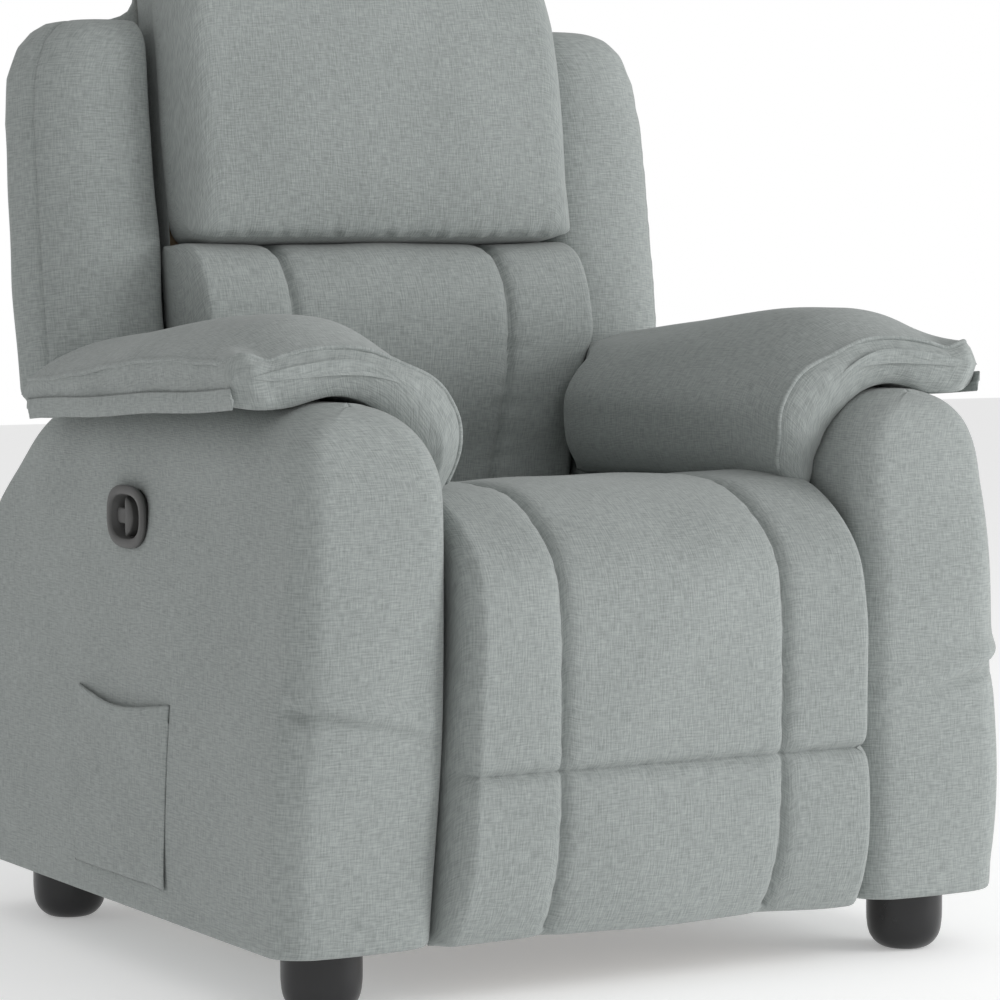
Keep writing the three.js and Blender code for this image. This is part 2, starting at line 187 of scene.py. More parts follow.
def outward(points, centre):
    """Unit normals of a grid: the cross product of its two directions, turned away from centre."""
    closed = np.concatenate([points[:, -1:], points, points[:, :1]], axis=1)
    around = closed[:, 2:] - closed[:, :-2]
    down = np.gradient(points, axis=0)
    normal = np.cross(around, down)
    normal /= np.maximum(np.linalg.norm(normal, axis=-1, keepdims=True), 1e-9)
    facing = np.sign(np.sum(normal * (points - centre), axis=-1).sum() or 1)
    return normal * facing


# %% [markdown]
# Sewn padding has a language of its own. A seam pulls the cover down into a narrow valley, the
# filling rises between two seams, and the stitches gather the cloth into small puckers along the
# valley. Loose cloth also has long, shallow waves. Each of these is a height that is added along
# the surface normal.

# %% Seams, puckers and waves
def bump_step(value, start, end):
    """0 before start, 1 after end, and a smooth 3t^2 - 2t^3 between."""
    t = np.clip((value - start) / (end - start), 0, 1)
    return t * t * (3 - 2 * t)


def valley(distance, reach, depth, shoulder=0.3):
    """How far a seam pulls the cover in: a sharp part that fades as exp(-distance / 4.5 mm), and a
    broad part that rises as a parabola to the middle of the panel, `reach` away."""
    broad = np.clip(1 - distance / reach, 0, 1) ** 2
    return depth * ((1 - shoulder) * np.exp(-distance / 0.0045) + shoulder * broad)


def walk_along(outline):
    """How far each point lies along the outline: the running sum of the steps between points."""
    return np.concatenate([[0], np.cumsum(np.linalg.norm(np.diff(outline, axis=0), axis=1))])


def puckers(distance, walk, height, seed=0.0):
    """Small gathers beside a seam: three waves along it that fade within two centimetres of it."""
    waves = (np.sin(walk / 0.0031 + seed) + np.sin(walk / 0.0047 + 2.1 * seed + 1)
             + 0.8 * np.sin(walk / 0.0078 + 3.3 * seed + 2)) / 3
    return height * waves * np.exp(-(distance / 0.015) ** 2)


def waves(points, length, seed):
    """Slow unevenness, from -1 to 1: the mean of eight sine waves in fixed, mixed directions."""
    source = np.random.default_rng(seed)
    direction = source.normal(size=(8, 3))
    direction /= np.linalg.norm(direction, axis=1, keepdims=True)
    scale = source.uniform(0.7, 1.5, 8) * 2 * math.pi / length
    phase = source.uniform(0, 2 * math.pi, 8)
    return np.sin(points @ (direction * scale[:, None]).T + phase).mean(axis=-1) * 1.6


# %% [markdown]
# The cover is a polyester cloth that imitates linen: matt, light grey with a little green, and
# crossed by short thick threads both ways. A noise that is stretched ten times longer than wide
# looks like such threads. Two of them at right angles, read from the UV map in metres, give the
# weave its colour and its relief. A slow noise on top stands for the uneven dye.

# %% Node helpers
def new_material(name, color, roughness, metallic=0.0):
    """A Principled material, with its node tree, shader and a colour input that can be linked."""
    material = bpy.data.materials.new(name)
    material.use_nodes = True
    shader = material.node_tree.nodes["Principled BSDF"]
    shader.inputs["Base Color"].default_value = (*color, 1)
    shader.inputs["Roughness"].default_value = roughness
    shader.inputs["Metallic"].default_value = metallic
    return material, material.node_tree, shader


def noise_on(tree, source, scale, detail=2.0, offset=(0, 0, 0)):
    """Noise whose cells are 1/scale metres along each axis of the UV map or of Object space."""
    coordinates = tree.nodes.new("ShaderNodeTexCoord")
    mapping = tree.nodes.new("ShaderNodeMapping")
    mapping.inputs["Scale"].default_value = scale
    mapping.inputs["Location"].default_value = offset
    noise = tree.nodes.new("ShaderNodeTexNoise")
    noise.inputs["Scale"].default_value = 1.0
    noise.inputs["Detail"].default_value = detail
    tree.links.new(coordinates.outputs[source], mapping.inputs["Vector"])
    tree.links.new(mapping.outputs["Vector"], noise.inputs["Vector"])
    return noise.outputs["Fac"]


def maths(tree, operation, first, second):
    """One Math node; each input is a number or a socket."""
    node = tree.nodes.new("ShaderNodeMath")
    node.operation = operation
    for socket, value in zip(node.inputs, (first, second)):
        if isinstance(value, (int, float)):
            socket.default_value = value
        else:
            tree.links.new(value, socket)
    return node.outputs[0]


def spread(tree, value, low, high):
    """Stretches a noise, which mostly lies between low and high, to run from 0 to 1."""
    node = tree.nodes.new("ShaderNodeMapRange")
    node.inputs["From Min"].default_value = low
    node.inputs["From Max"].default_value = high
    tree.links.new(value, node.inputs["Value"])
    return node.outputs["Result"]


def colour_between(tree, factor, dark, light, shader):
    """Base Color runs from dark to light with the factor."""
    ramp = tree.nodes.new("ShaderNodeValToRGB")
    ramp.color_ramp.elements[0].color = (*dark, 1)
    ramp.color_ramp.elements[1].color = (*light, 1)
    tree.links.new(factor, ramp.inputs["Fac"])
    tree.links.new(ramp.outputs["Color"], shader.inputs["Base Color"])


def relief(tree, height, depth, strength, shader):
    """A bump of that real depth in metres."""
    bump = tree.nodes.new("ShaderNodeBump")
    bump.inputs["Distance"].default_value = depth
    bump.inputs["Strength"].default_value = strength
    tree.links.new(height, bump.inputs["Height"])
    tree.links.new(bump.outputs["Normal"], shader.inputs["Normal"])


# %% Linen-look cloth
CLOTH_DARK, CLOTH_LIGHT = (0.195, 0.216, 0.209), (0.418, 0.448, 0.438)
SLUB_LONG, SLUB_WIDE, THREAD = 1 / 0.0125, 1 / 0.0014, 1 / 0.0011


def linen(name, long=SLUB_LONG, wide=SLUB_WIDE):
    """Cloth with slubs both ways; long and wide are slub counts per metre of cloth."""
    material, tree, shader = new_material(name, CLOTH_LIGHT, 0.95)
    weft = spread(tree, noise_on(tree, "UV", (long, wide, 1), 1.5), 0.3, 0.7)
    warp = spread(tree, noise_on(tree, "UV", (wide, long, 1), 1.5, (7, 3, 0)), 0.3, 0.7)
    grain = noise_on(tree, "UV", (THREAD, THREAD, 1), 1.0)
    dye = spread(tree, noise_on(tree, "Object", (9, 9, 9), 2.0), 0.35, 0.65)
    threads = maths(tree, "ADD", maths(tree, "MULTIPLY", weft, 0.42), maths(tree, "MULTIPLY", warp, 0.36))
    threads = maths(tree, "ADD", threads, maths(tree, "MULTIPLY", grain, 0.22))
    tone = maths(tree, "ADD", maths(tree, "MULTIPLY", threads, 0.9), maths(tree, "MULTIPLY", dye, 0.08))
    colour_between(tree, tone, CLOTH_DARK, CLOTH_LIGHT, shader)
    relief(tree, threads, 0.0007, 0.55, shader)
    shader.inputs["Sheen Weight"].default_value = 0.18
    shader.inputs["Sheen Roughness"].default_value = 0.5
    shader.inputs["Specular IOR Level"].default_value = 0.25
    return material


CLOTH = linen("linen_cloth_weave")
print("cloth nodes", len(CLOTH.node_tree.nodes))

# %% [markdown]
# The hard parts keep their frame shapes. Birch plywood shows long grain on its faces and thin
# layers on its cut edges. The linkage is steel with a dark powder coat, which has a fine orange
# peel. The springs are bright drawn wire, and the runners are natural nylon.

# %% Plywood, steel, wire, nylon and moulded plastic
def plywood(name):
    """Grain: noise stretched along one axis. Layers: a slow ripple along the two others."""
    material, tree, shader = new_material(name, (0.55, 0.4, 0.25), 0.7)
    grain = spread(tree, noise_on(tree, "Object", (26, 9, 150), 4.0), 0.3, 0.7)
    fine = noise_on(tree, "Object", (90, 14, 600), 2.0)
    tone = maths(tree, "ADD", maths(tree, "MULTIPLY", grain, 0.65), maths(tree, "MULTIPLY", fine, 0.35))
    colour_between(tree, tone, (0.36, 0.235, 0.13), (0.66, 0.5, 0.33), shader)
    relief(tree, fine, 0.0004, 0.4, shader)
    return material


def moulded(name, color, roughness, grain_per_metre, depth, metallic=0.0):
    """Plastic or coated metal: an even colour, a little varied gloss and a fine skin."""
    material, tree, shader = new_material(name, color, roughness, metallic)
    skin = noise_on(tree, "Object", (grain_per_metre,) * 3, 2.0)
    slow = noise_on(tree, "Object", (25, 25, 25), 2.0)
    gloss = maths(tree, "ADD", maths(tree, "MULTIPLY", slow, 0.16), roughness - 0.08)
    tree.links.new(gloss, shader.inputs["Roughness"])
    dark = tuple(0.85 * value for value in color)
    light = tuple(min(1.0, 1.15 * value) for value in color)
    colour_between(tree, spread(tree, slow, 0.3, 0.7), dark, light, shader)
    relief(tree, skin, depth, 0.35, shader)
    return material


PLYWOOD = plywood("birch_plywood")
STEEL = moulded("dark_powder_coat", (0.035, 0.038, 0.042), 0.42, 900, 0.0004, 0.3)
WIRE = moulded("drawn_wire", (0.42, 0.43, 0.45), 0.3, 1500, 0.0002, 1.0)
NYLON = moulded("natural_nylon", (0.68, 0.66, 0.6), 0.45, 600, 0.0003)
BLACK = moulded("black_moulding", (0.009, 0.009, 0.010), 0.30, 1100, 0.0002)
GREY = moulded("grey_moulding", (0.085, 0.085, 0.083), 0.48, 1600, 0.0002)
FINISHES = {"linen_cloth": CLOTH, "plywood": PLYWOOD, "coated_steel": STEEL, "spring_wire": WIRE,
            "nylon": NYLON, "black_plastic": BLACK, "grey_plastic": GREY}

slots = {row["node"]: row["material_slot"] for row in frame["record"]["subparts"]}
for node, held in frame["nodes"].items():
    held.material_slots[0].material = FINISHES[slots[node]]
print("finished nodes", len(slots))

# %% [markdown]
# Every soft piece goes through one helper: it hides the blocks that the piece stands for and
# attaches the piece to the body that it moves with.

# %% Declaring soft pieces
def upholster(made, body, fill, *blocks):
    """Hides the blocks that a soft piece replaces and attaches the piece to its body; fill is not used."""
    if blocks:
        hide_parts(*blocks)
    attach(made, body)


# %% [markdown]
# The seat and the front of the footrest are one quilted cover on the real chair, sewn into three
# columns with a seam across the footrest. The cover bends over the gap when the footrest lifts.
# Here it is one padded sheet, five to eight centimetres thick, that runs forward over the seat, down over
# the nose and on to the bottom of the footrest. Two long valleys and one cross valley are pressed
# into its face. The sheet stays where it is drawn; it is not attached to the seat or the footrest.

# %% Seat and footrest cover
COLUMN = 0.115
CROSS_SEAM_HEIGHT = 0.205
COLUMN_VALLEY, CROSS_VALLEY = 0.0125, 0.014
cover_face = [(0.057, 0.412), (0.050, 0.418), (0.030, 0.420), (-0.02, 0.4245), (-0.10, 0.4325),
              (-0.19, 0.4425), (-0.27, 0.4505), (-0.33, 0.4515), (-0.38, 0.443), (-0.427, 0.417),
              (-0.457, 0.383), (-0.4665, 0.335), (-0.4675, 0.29), (-0.4675, 0.245), (-0.4675, 0.205),
              (-0.4665, 0.165), (-0.461, 0.12), (-0.449, 0.085), (-0.436, 0.063), (-0.4285, 0.0555),
              (-0.4075, 0.0545)]
cover_under = [(0.057, 0.412), (0.048, 0.405), (0.030, 0.4035), (-0.02, 0.4035), (-0.10, 0.4035),
               (-0.19, 0.404), (-0.27, 0.405), (-0.33, 0.404), (-0.357, 0.399), (-0.376, 0.388),
               (-0.388, 0.370), (-0.3935, 0.335), (-0.392, 0.29), (-0.386, 0.245), (-0.381, 0.205),
               (-0.380, 0.165), (-0.380, 0.12), (-0.3805, 0.085), (-0.383, 0.062), (-0.390, 0.0555),
               (-0.4075, 0.0545)]
COVER_POINTS, COVER_ROWS = 270, 230
outline, spine = two_sided(cover_face, cover_under, COVER_POINTS, trim=0.02)
across, section, share = carry(outline, spine, -1, 1, 0.075, 2.2, COVER_ROWS, 14)
half_width = np.interp(section[..., 1], [0.0545, 0.34, 0.40], [0.2225, 0.2085, 0.2075])
x = across * half_width
is_face = np.arange(outline.shape[0]) < COVER_POINTS
walk = walk_along(outline)
face = outline[:COVER_POINTS]
from_seam_height = np.abs(face[:, 1] - CROSS_SEAM_HEIGHT) + (face[:, 0] > -0.4)
cross_seam = walk[np.argmin(from_seam_height)]


def quilting(x, walk, cross_seam):
    """How far the seams pull the face in: two valleys along it, one across it, their squares summed."""
    aside = np.abs(np.abs(x) - COLUMN)
    along = valley(aside, 0.1, COLUMN_VALLEY)
    over = valley(np.abs(walk - cross_seam), 0.11, CROSS_VALLEY)
    gathers = puckers(aside, walk, 0.0009, 1.0) + puckers(np.abs(walk - cross_seam), x, 0.0006, 2.0)
    return np.sqrt(along**2 + over**2) - gathers


cover = at_depth(x, section[..., 0], section[..., 1])
normal = outward(cover, cover.mean(axis=(0, 1)))
face_end = walk[COVER_POINTS - 1]
ends = bump_step(walk, 0.0, 0.05) * (1 - bump_step(walk, face_end - 0.03, face_end))
press = np.where(is_face, quilting(x, walk, cross_seam) * ends, 0) * share
press = press - np.where(is_face, 0.0012 * waves(cover, 0.11, 5) * ends, 0) * share
cover = cover - normal * press[..., None]
print("cross seam at", round(float(cross_seam), 3), "m along the cover")
seat_cover = piece("seat_and_footrest_cover", cover, CLOTH)
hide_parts("seat_cushion", "footrest_cushion")
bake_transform(seat_cover)

# %% [markdown]
# Below that cover the seat has a plain box of foam, seen only when the footrest is up. It is the
# same construction with a square outline and small rounded edges.

# %% Seat box
box_front = [(-0.10, 0.3235), (-0.330, 0.3235), (-0.3445, 0.327), (-0.3465, 0.36), (-0.3445, 0.396),
             (-0.330, 0.400), (-0.10, 0.400)]
box_rear = [(-0.10, 0.3235), (0.040, 0.3235), (0.0545, 0.327), (0.0565, 0.36), (0.0545, 0.396),
            (0.040, 0.400), (-0.10, 0.400)]
outline, spine = two_sided(box_front, box_rear, 90, trim=0.1)
across, section, share = carry(outline, spine, -0.2065, 0.2065, 0.012, 2.4, 24, 6)
seat_box = piece("seat_box_padding", at_depth(across, section[..., 0], section[..., 1]), CLOTH)
upholster(seat_box, "seat", 0.95, "seat_cushion")

# %% [markdown]
# Each arm is a tall box of plywood under foam. Its sides are nearly upright, its front is slightly
# crowned, and its top is a roll that leans inwards. The cover is drawn as level rings, one above the
# other. The rings narrow over the roll and close on a line along its top. At the rear the rings get
# shorter, which makes the slope behind the armrest pad.

# %% Rings of the arm
ROLL_START, ROLL_RISE, ROLL_HALF, ROLL_POWER = 0.444, 0.084, 0.0735, 2.5
arm_outside = smooth_line([(0.058, 0.3775), (0.12, 0.379), (0.20, 0.3755), (0.28, 0.3695), (0.36, 0.3645),
                           (ROLL_START, 0.360)], 80)
arm_inside = smooth_line([(0.058, 0.2245), (0.15, 0.2225), (0.25, 0.2185), (0.358, 0.2165),
                          (ROLL_START, 0.213)], 80)
arm_front = smooth_line([(0.058, -0.434), (0.12, -0.438), (0.20, -0.441), (0.30, -0.4435), (0.39, -0.4425),
                         (0.45, -0.437), (0.49, -0.426), (0.515, -0.412), (0.5285, -0.392)], 120)
arm_rear = smooth_line([(0.058, 0.273), (0.20, 0.2745), (0.325, 0.2735), (0.368, 0.260), (0.404, 0.234),
                        (0.437, 0.199), (0.464, 0.162), (0.500, 0.110), (0.524, 0.078), (0.5285, 0.060)], 120)


def level_rings(left, right, front, rear, radius, side_points, end_points, corner_points=9):
    """Rounded rectangles, one a row: from the middle of the rear edge, down one side, over the front
    and back up the other side. A corner is a quarter circle of that radius."""
    turn = np.linspace(0, math.pi / 2, corner_points)[None, :]
    left, right, front, rear, radius = (np.asarray(v)[:, None] for v in (left, right, front, rear, radius))
    side = np.linspace(0, 1, side_points + 2)[None, 1:-1]
    end = np.linspace(0, 1, end_points + 2)[None, 1:-1]

    def corner(cx, cy, start):
        return cx + radius * np.cos(start - turn), cy + radius * np.sin(start - turn)

    def straight(x0, y0, x1, y1, steps):
        return x0 + (x1 - x0) * steps, y0 + (y1 - y0) * steps

    parts = [corner(right - radius, rear - radius, math.pi / 2),
             straight(right, rear - radius, right, front + radius, side),
             corner(right - radius, front + radius, 0),
             straight(right - radius, front, left + radius, front, end),
             corner(left + radius, front + radius, -math.pi / 2),
             straight(left, front + radius, left, rear - radius, side),
             corner(left + radius, rear - radius, math.pi),
             straight(left + radius, rear, right - radius, rear, end)]
    rows = len(left)
    x = np.concatenate([np.broadcast_to(p[0], (rows, p[0].shape[1])) for p in parts], axis=1)
    y = np.concatenate([np.broadcast_to(p[1], (rows, p[1].shape[1])) for p in parts], axis=1)
    return x, y


def arm_rings():
    """x, depth and height of the left arm's cover; its lowest rings are drawn in to close the bottom."""
    turn = np.linspace(0, math.pi / 2, 34)[1:]
    body = np.concatenate([[0.058, 0.058, 0.058, 0.0585, 0.0605], np.linspace(0.064, ROLL_START, 128)])
    height = np.concatenate([body, ROLL_START + ROLL_RISE * np.sin(turn) ** (2 / ROLL_POWER)])
    half = np.concatenate([np.full(len(body), np.nan), ROLL_HALF * np.cos(turn) ** (2 / ROLL_POWER)])
    half[-1] = 0
    outside = np.interp(height, arm_outside[:, 0], arm_outside[:, 1])
    inside = np.interp(height, arm_inside[:, 0], arm_inside[:, 1])
    middle = (outside + inside) / 2 + 0.006 * bump_step(height, ROLL_START, ROLL_START + ROLL_RISE)
    half = np.where(np.isnan(half), (outside - inside) / 2, half)
    front = np.interp(height, arm_front[:, 0], arm_front[:, 1])
    rear = np.interp(height, arm_rear[:, 0], arm_rear[:, 1])
    tuck = np.zeros(len(height))
    tuck[2:5] = 0.004, 0.0015, 0.0005
    radius = np.minimum(0.027, half)
    left, right = middle - half + tuck, middle + half - tuck
    x, depth = level_rings(left, right, front + tuck, rear - tuck, radius, 120, 34)
    closed = np.zeros(len(height))
    closed[:2] = 1.0, 0.5
    x = x + (middle[:, None] - x) * closed[:, None]
    return x, depth, np.repeat(height[:, None], x.shape[1], axis=1)


# %% [markdown]
# The front of each arm has one slanted crease, where the cover is gathered to turn the corner. It
# is higher on the outside. Above the crease the cloth stands a little over it, and the gather makes
# a dimple at the outer corner. Everything is drawn for the left arm and mirrored for the right.

# %% Arm covers
CREASE_INNER, CREASE_OUTER = (0.222, 0.238), (0.372, 0.273)


def crease(x, height):
    """A slanted groove: a narrow dip, with the cloth above it standing proud and fading upwards."""
    slope = (CREASE_OUTER[1] - CREASE_INNER[1]) / (CREASE_OUTER[0] - CREASE_INNER[0])
    above = height - (CREASE_INNER[1] + slope * (x - CREASE_INNER[0]))
    outer = bump_step(x, CREASE_INNER[0], CREASE_OUTER[0])
    dip = (0.0022 + 0.0048 * outer) * np.exp(-((above + 0.002) / 0.0055) ** 2)
    lip = (0.0015 + 0.0032 * outer) * np.exp(-((above - 0.013) / 0.012) ** 2)
    dimple = 0.004 * np.exp(-((above + 0.004) / 0.014) ** 2) * bump_step(x, 0.34, 0.375)
    return (lip - dip - dimple) * bump_step(x, 0.219, 0.245)


def arm_cover(side, sign):
    """The rings with their crowned front, crease and waves, mirrored to one side of the chair."""
    x, depth, height = arm_rings()
    points = at_depth(x, depth, height)
    normal = outward(points, points.mean(axis=(0, 1)))
    facing_front = bump_step(-normal[..., 1], 0.35, 0.9)
    facing_side = bump_step(np.abs(normal[..., 0]), 0.5, 0.95)
    middle = x.mean(axis=1, keepdims=True)
    crown = 0.004 * (1 - np.clip(np.abs(x - middle) / 0.07, 0, 1) ** 2) * facing_front
    gather = crease(x, height) * bump_step(-normal[..., 1], 0.15, 0.6)
    belly = 0.003 * np.sin(np.clip((height - 0.06) / 0.38, 0, 1) * math.pi) * facing_side
    loose = 0.0016 * waves(points, 0.16, 11 if sign > 0 else 12) * bump_step(height, 0.06, 0.09)
    rise = (crown + gather + belly + loose) * (height > 0.0583)
    points = points + normal * rise[..., None]
    return piece(f"arm_cover_{side}", points * (sign, 1, 1), CLOTH)


arm_covers = {side: arm_cover(side, sign) for side, sign in SIDES}
for side, cover_piece in arm_covers.items():
    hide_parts(*(f"arm_padding_{part}_{side}" for part in ("front", "outer", "inner", "top")))

# %% [markdown]
# The armrest pad is a saddle. Seen from the front it is an arch that starts at a hem outside the
# arm, goes over the roll and hangs down to the seat on the inner side. Its outline is carried from
# front to rear. The front edge is a crisp seam with a band of cloth below it, so the front end
# closes with a flatter curve than the rear end. The pad gets thinner towards the rear.

# %% Armrest pads
PAD_FRONT, PAD_REAR = -0.382, 0.086
pad_top = [(0.3905, 0.547), (0.3915, 0.558), (0.3885, 0.566), (0.366, 0.582), (0.330, 0.5965),
           (0.290, 0.6015), (0.250, 0.595), (0.216, 0.574), (0.189, 0.543), (0.1705, 0.513), (0.1685, 0.486),
           (0.173, 0.460), (0.184, 0.442), (0.198, 0.436)]
pad_under = [(0.3905, 0.547), (0.3905, 0.534), (0.3855, 0.5275), (0.365, 0.523), (0.334, 0.524),
             (0.294, 0.532), (0.262, 0.5265), (0.236, 0.508), (0.2185, 0.488), (0.2130, 0.466),
             (0.2125, 0.450), (0.2085, 0.440), (0.198, 0.436)]
PAD_POINTS = 120


def pad_drop(x, depth):
    """How much lower the pad lies towards its rear: it grows with depth, from nothing to 29 mm."""
    rearward = bump_step(depth, -0.26, 0.10)
    return 0.029 * rearward


def brow(x, depth, height):
    """How far the top dips at its front edge, where the seam holds the crest of the pad down."""
    forward = bump_step(-depth, 0.285, -PAD_FRONT)
    return 0.027 * forward * bump_step(height, 0.53, 0.60) * (1 - bump_step(x, 0.352, 0.39))


def pad_points():
    """The saddle's grid as x, depth and height, how much each point belongs to the front band, and the share
    of its outline kept in each row.
    """
    outline, spine = two_sided(pad_top, pad_under, PAD_POINTS, trim=0.03)
    depth, section, share = carry(outline, spine, PAD_FRONT, PAD_REAR, (0.013, 0.03), 1.5, 150, 14)
    x, height = section[..., 0].copy(), section[..., 1].copy()
    front_band = bump_step(depth, PAD_FRONT + 0.013, PAD_FRONT + 0.010)
    on_roll = 1 - bump_step(x, 0.350, 0.384)
    under = (np.arange(x.shape[1]) >= PAD_POINTS)[None, :]
    drop = pad_drop(x, depth)
    upper_drop = drop * bump_step(x, 0.175, 0.25) + brow(x, depth, height)
    height -= np.where(under, drop * (1 - on_roll), upper_drop)
    inner = 1 - bump_step(x, 0.195, 0.225)
    depth = depth - inner * 0.046 * bump_step(depth, -0.02, PAD_REAR)
    depth = depth + 0.012 * (1 - bump_step(height, 0.45, 0.49)) * bump_step(-depth, 0.30, 0.37)
    depth = depth + 0.010 * bump_step(x, 0.372, 0.392) * bump_step(-depth, 0.33, 0.37)
    return x, depth, height, front_band, share


def pad_folds(x, depth, height, front_band):
    """Folds: diagonal gathers that fan out of the outer front corner, and small puckers by the seam."""
    away_x, away_z = 0.388 - x, height - 0.556
    distance = np.hypot(away_x, away_z)
    angle = np.arctan2(away_z, away_x)
    fan = 0.0013 * np.sin(angle * 7.5 + distance * 40) * np.exp(-((distance - 0.035) / 0.03) ** 2)
    fine = 0.0005 * np.sin((x + height) / 0.0042) * np.exp(-((np.abs(front_band) - 0.5) / 0.5) ** 2)
    return (fan + fine) * front_band


def armrest_pad(side, sign):
    x, depth, height, front_band, share = pad_points()
    points = at_depth(x, depth, height)
    normal = outward(points, points.mean(axis=(0, 1)) - (0, 0, 0.12))
    rise = pad_folds(x, depth, height, front_band) * np.sqrt(share)
    rise = rise + 0.0014 * waves(points, 0.13, 21 if sign > 0 else 23) * bump_step(share, 0, 0.4)
    points = points + normal * rise[..., None]
    return piece(f"armrest_pad_cover_{side}", points * (sign, 1, 1), CLOTH)


armrest_pads = {side: armrest_pad(side, sign) for side, sign in SIDES}
for side, pad in armrest_pads.items():
    upholster(pad, "base", 0.75, f"armrest_pad_{side}")

# %% [markdown]
# A cord of the same cloth is sewn into the pad's seam. It follows the outer edge from the rear,
# turns the front corner, and goes over the arch and down to the seat. A tube drawn around a smooth
# line does this: at each step the circle lies across the line.

# %% Piping of the pads
def tube(line, radius, sides=12):
    """Grid of circles across a line. Two directions square to the tangent come from cross products
    with a fixed slanted axis, and the first and last circles shrink to a point."""
    tangent = np.gradient(line, axis=0)
    tangent /= np.linalg.norm(tangent, axis=1, keepdims=True)
    first = np.cross(tangent, (0.36, 0.48, -0.8))
    first /= np.linalg.norm(first, axis=1, keepdims=True)
    second = np.cross(tangent, first)
    turn = np.linspace(0, 2 * math.pi, sides, endpoint=False)[None, :, None]
    size = np.full((len(line), 1, 1), radius)
    size[0] = size[-1] = 0
    return line[:, None] + size * (np.cos(turn) * first[:, None] + np.sin(turn) * second[:, None])


def pad_piping(side, sign):
    """The seam line: along the outer edge at depth steps, then over the arch at the front."""
    seam_depth = PAD_FRONT + 0.0125
    arch = smooth_line(pad_top, 200)
    arch = arch[14:186]
    edge_depth = np.linspace(0.070, seam_depth + 0.016, 90)
    edge_x = np.full_like(edge_depth, 0.3908)
    edge_z = 0.5625 - pad_drop(edge_x, edge_depth)
    front_depth = seam_depth + 0.010 * bump_step(arch[:, 0], 0.372, 0.392) \
        + 0.012 * (1 - bump_step(arch[:, 1], 0.45, 0.49))
    x = np.concatenate([edge_x, arch[:, 0]])
    depth = np.concatenate([edge_depth, front_depth])
    height = np.concatenate([edge_z, arch[:, 1] - brow(arch[:, 0], front_depth, arch[:, 1])])
    line = smooth_line(at_depth(x, depth, height)[::4], 260)
    line[:, 2] += 0.0005 * np.sin(np.linspace(0, 60, 260))
    return piece(f"pad_piping_{side}", tube(line, 0.0024) * (sign, 1, 1), CLOTH)


for side, sign in SIDES:
    cord = pad_piping(side, sign)
    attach(cord, "base")

# %% [markdown]
# Under the outer edge hangs a flat hem, two centimetres tall. It is a folded strip of the same
# cloth, so it is thin with a rounded edge, and it stands a few millimetres off the arm.

# %% Hems of the pads
def pad_hem(side, sign):
    """A thin upright strip; its height follows the pad's drop, with a slight wave along its length."""
    outline, spine = two_sided([(0.3915, -0.0095), (0.3935, 0.0), (0.3928, 0.0095)],
                               [(0.3915, -0.0095), (0.3900, 0.0), (0.3928, 0.0095)], 16, trim=0.1)
    depth, section, share = carry(outline, spine, -0.374, 0.069, 0.002, 2.0, 120, 4)
    lie = np.interp(depth, [-0.374, 0.067], [0.5325, 0.5065])
    x = section[..., 0] + 0.0006 * np.sin(depth / 0.021) - 0.0012 * (section[..., 1] < 0)
    height = lie + section[..., 1] + 0.0008 * np.sin(depth / 0.034 + 1)
    return piece(f"pad_hem_{side}", at_depth(x, depth, height) * (sign, 1, 1), CLOTH)


for side, sign in SIDES:
    hem = pad_hem(side, sign)
    upholster(hem, "base", 0.1)

# %% [markdown]
# The back has a lumbar cushion in three columns under a full head pillow. Both are carried across
# the chair from a side outline. The pillow's lower edge is a seam that hangs over the lumbar
# cushion, so its two outline halves meet there in a sharp corner.

# %% Lumbar cushion
LUMBAR_SEAM, LUMBAR_VALLEY = 0.121, 0.0115
lumbar_front = [(-0.030, 0.030), (-0.050, 0.036), (-0.064, 0.064), (-0.078, 0.110), (-0.097, 0.150),
                (-0.1125, 0.195), (-0.1185, 0.245), (-0.1135, 0.285), (-0.097, 0.315), (-0.070, 0.330),
                (-0.040, 0.3325)]
lumbar_rear = [(-0.030, 0.030), (-0.0175, 0.036), (-0.0155, 0.064), (-0.0155, 0.110), (-0.0155, 0.150),
               (-0.0155, 0.195), (-0.0155, 0.245), (-0.0155, 0.285), (-0.0165, 0.315), (-0.022, 0.330),
               (-0.040, 0.3325)]
LUMBAR_POINTS = 150
outline, spine = two_sided(lumbar_front, lumbar_rear, LUMBAR_POINTS)
across, section, share = carry(outline, spine, -1, 1, 0.06, 2.4, 190, 14)
x = across * (0.2075 + 0.0155 * bump_step(section[..., 1], 0.19, 0.24))
lumbar = on_back(x, section[..., 0], section[..., 1])
normal = outward(lumbar, lumbar.mean(axis=(0, 1)))
is_face = np.arange(len(outline)) < LUMBAR_POINTS
walk = walk_along(outline)
aside = np.abs(np.abs(x) - LUMBAR_SEAM + 0.006 * bump_step(section[..., 1], 0.32, 0.05))
face_end = walk[LUMBAR_POINTS]
ends = bump_step(walk, 0.0, 0.05) * (1 - bump_step(walk, face_end - 0.04, face_end))
press = valley(aside, 0.1, LUMBAR_VALLEY) - puckers(aside, walk, 0.0009, 4.0)
press = press - 0.0012 * waves(lumbar, 0.12, 31)
lumbar = lumbar - normal * np.where(is_face, press * ends, 0)[..., None] * share[..., None]
lumbar_cushion = piece("lumbar_cushion_cover", lumbar, CLOTH)
upholster(lumbar_cushion, "back", 0.8, "lumbar_cushion")

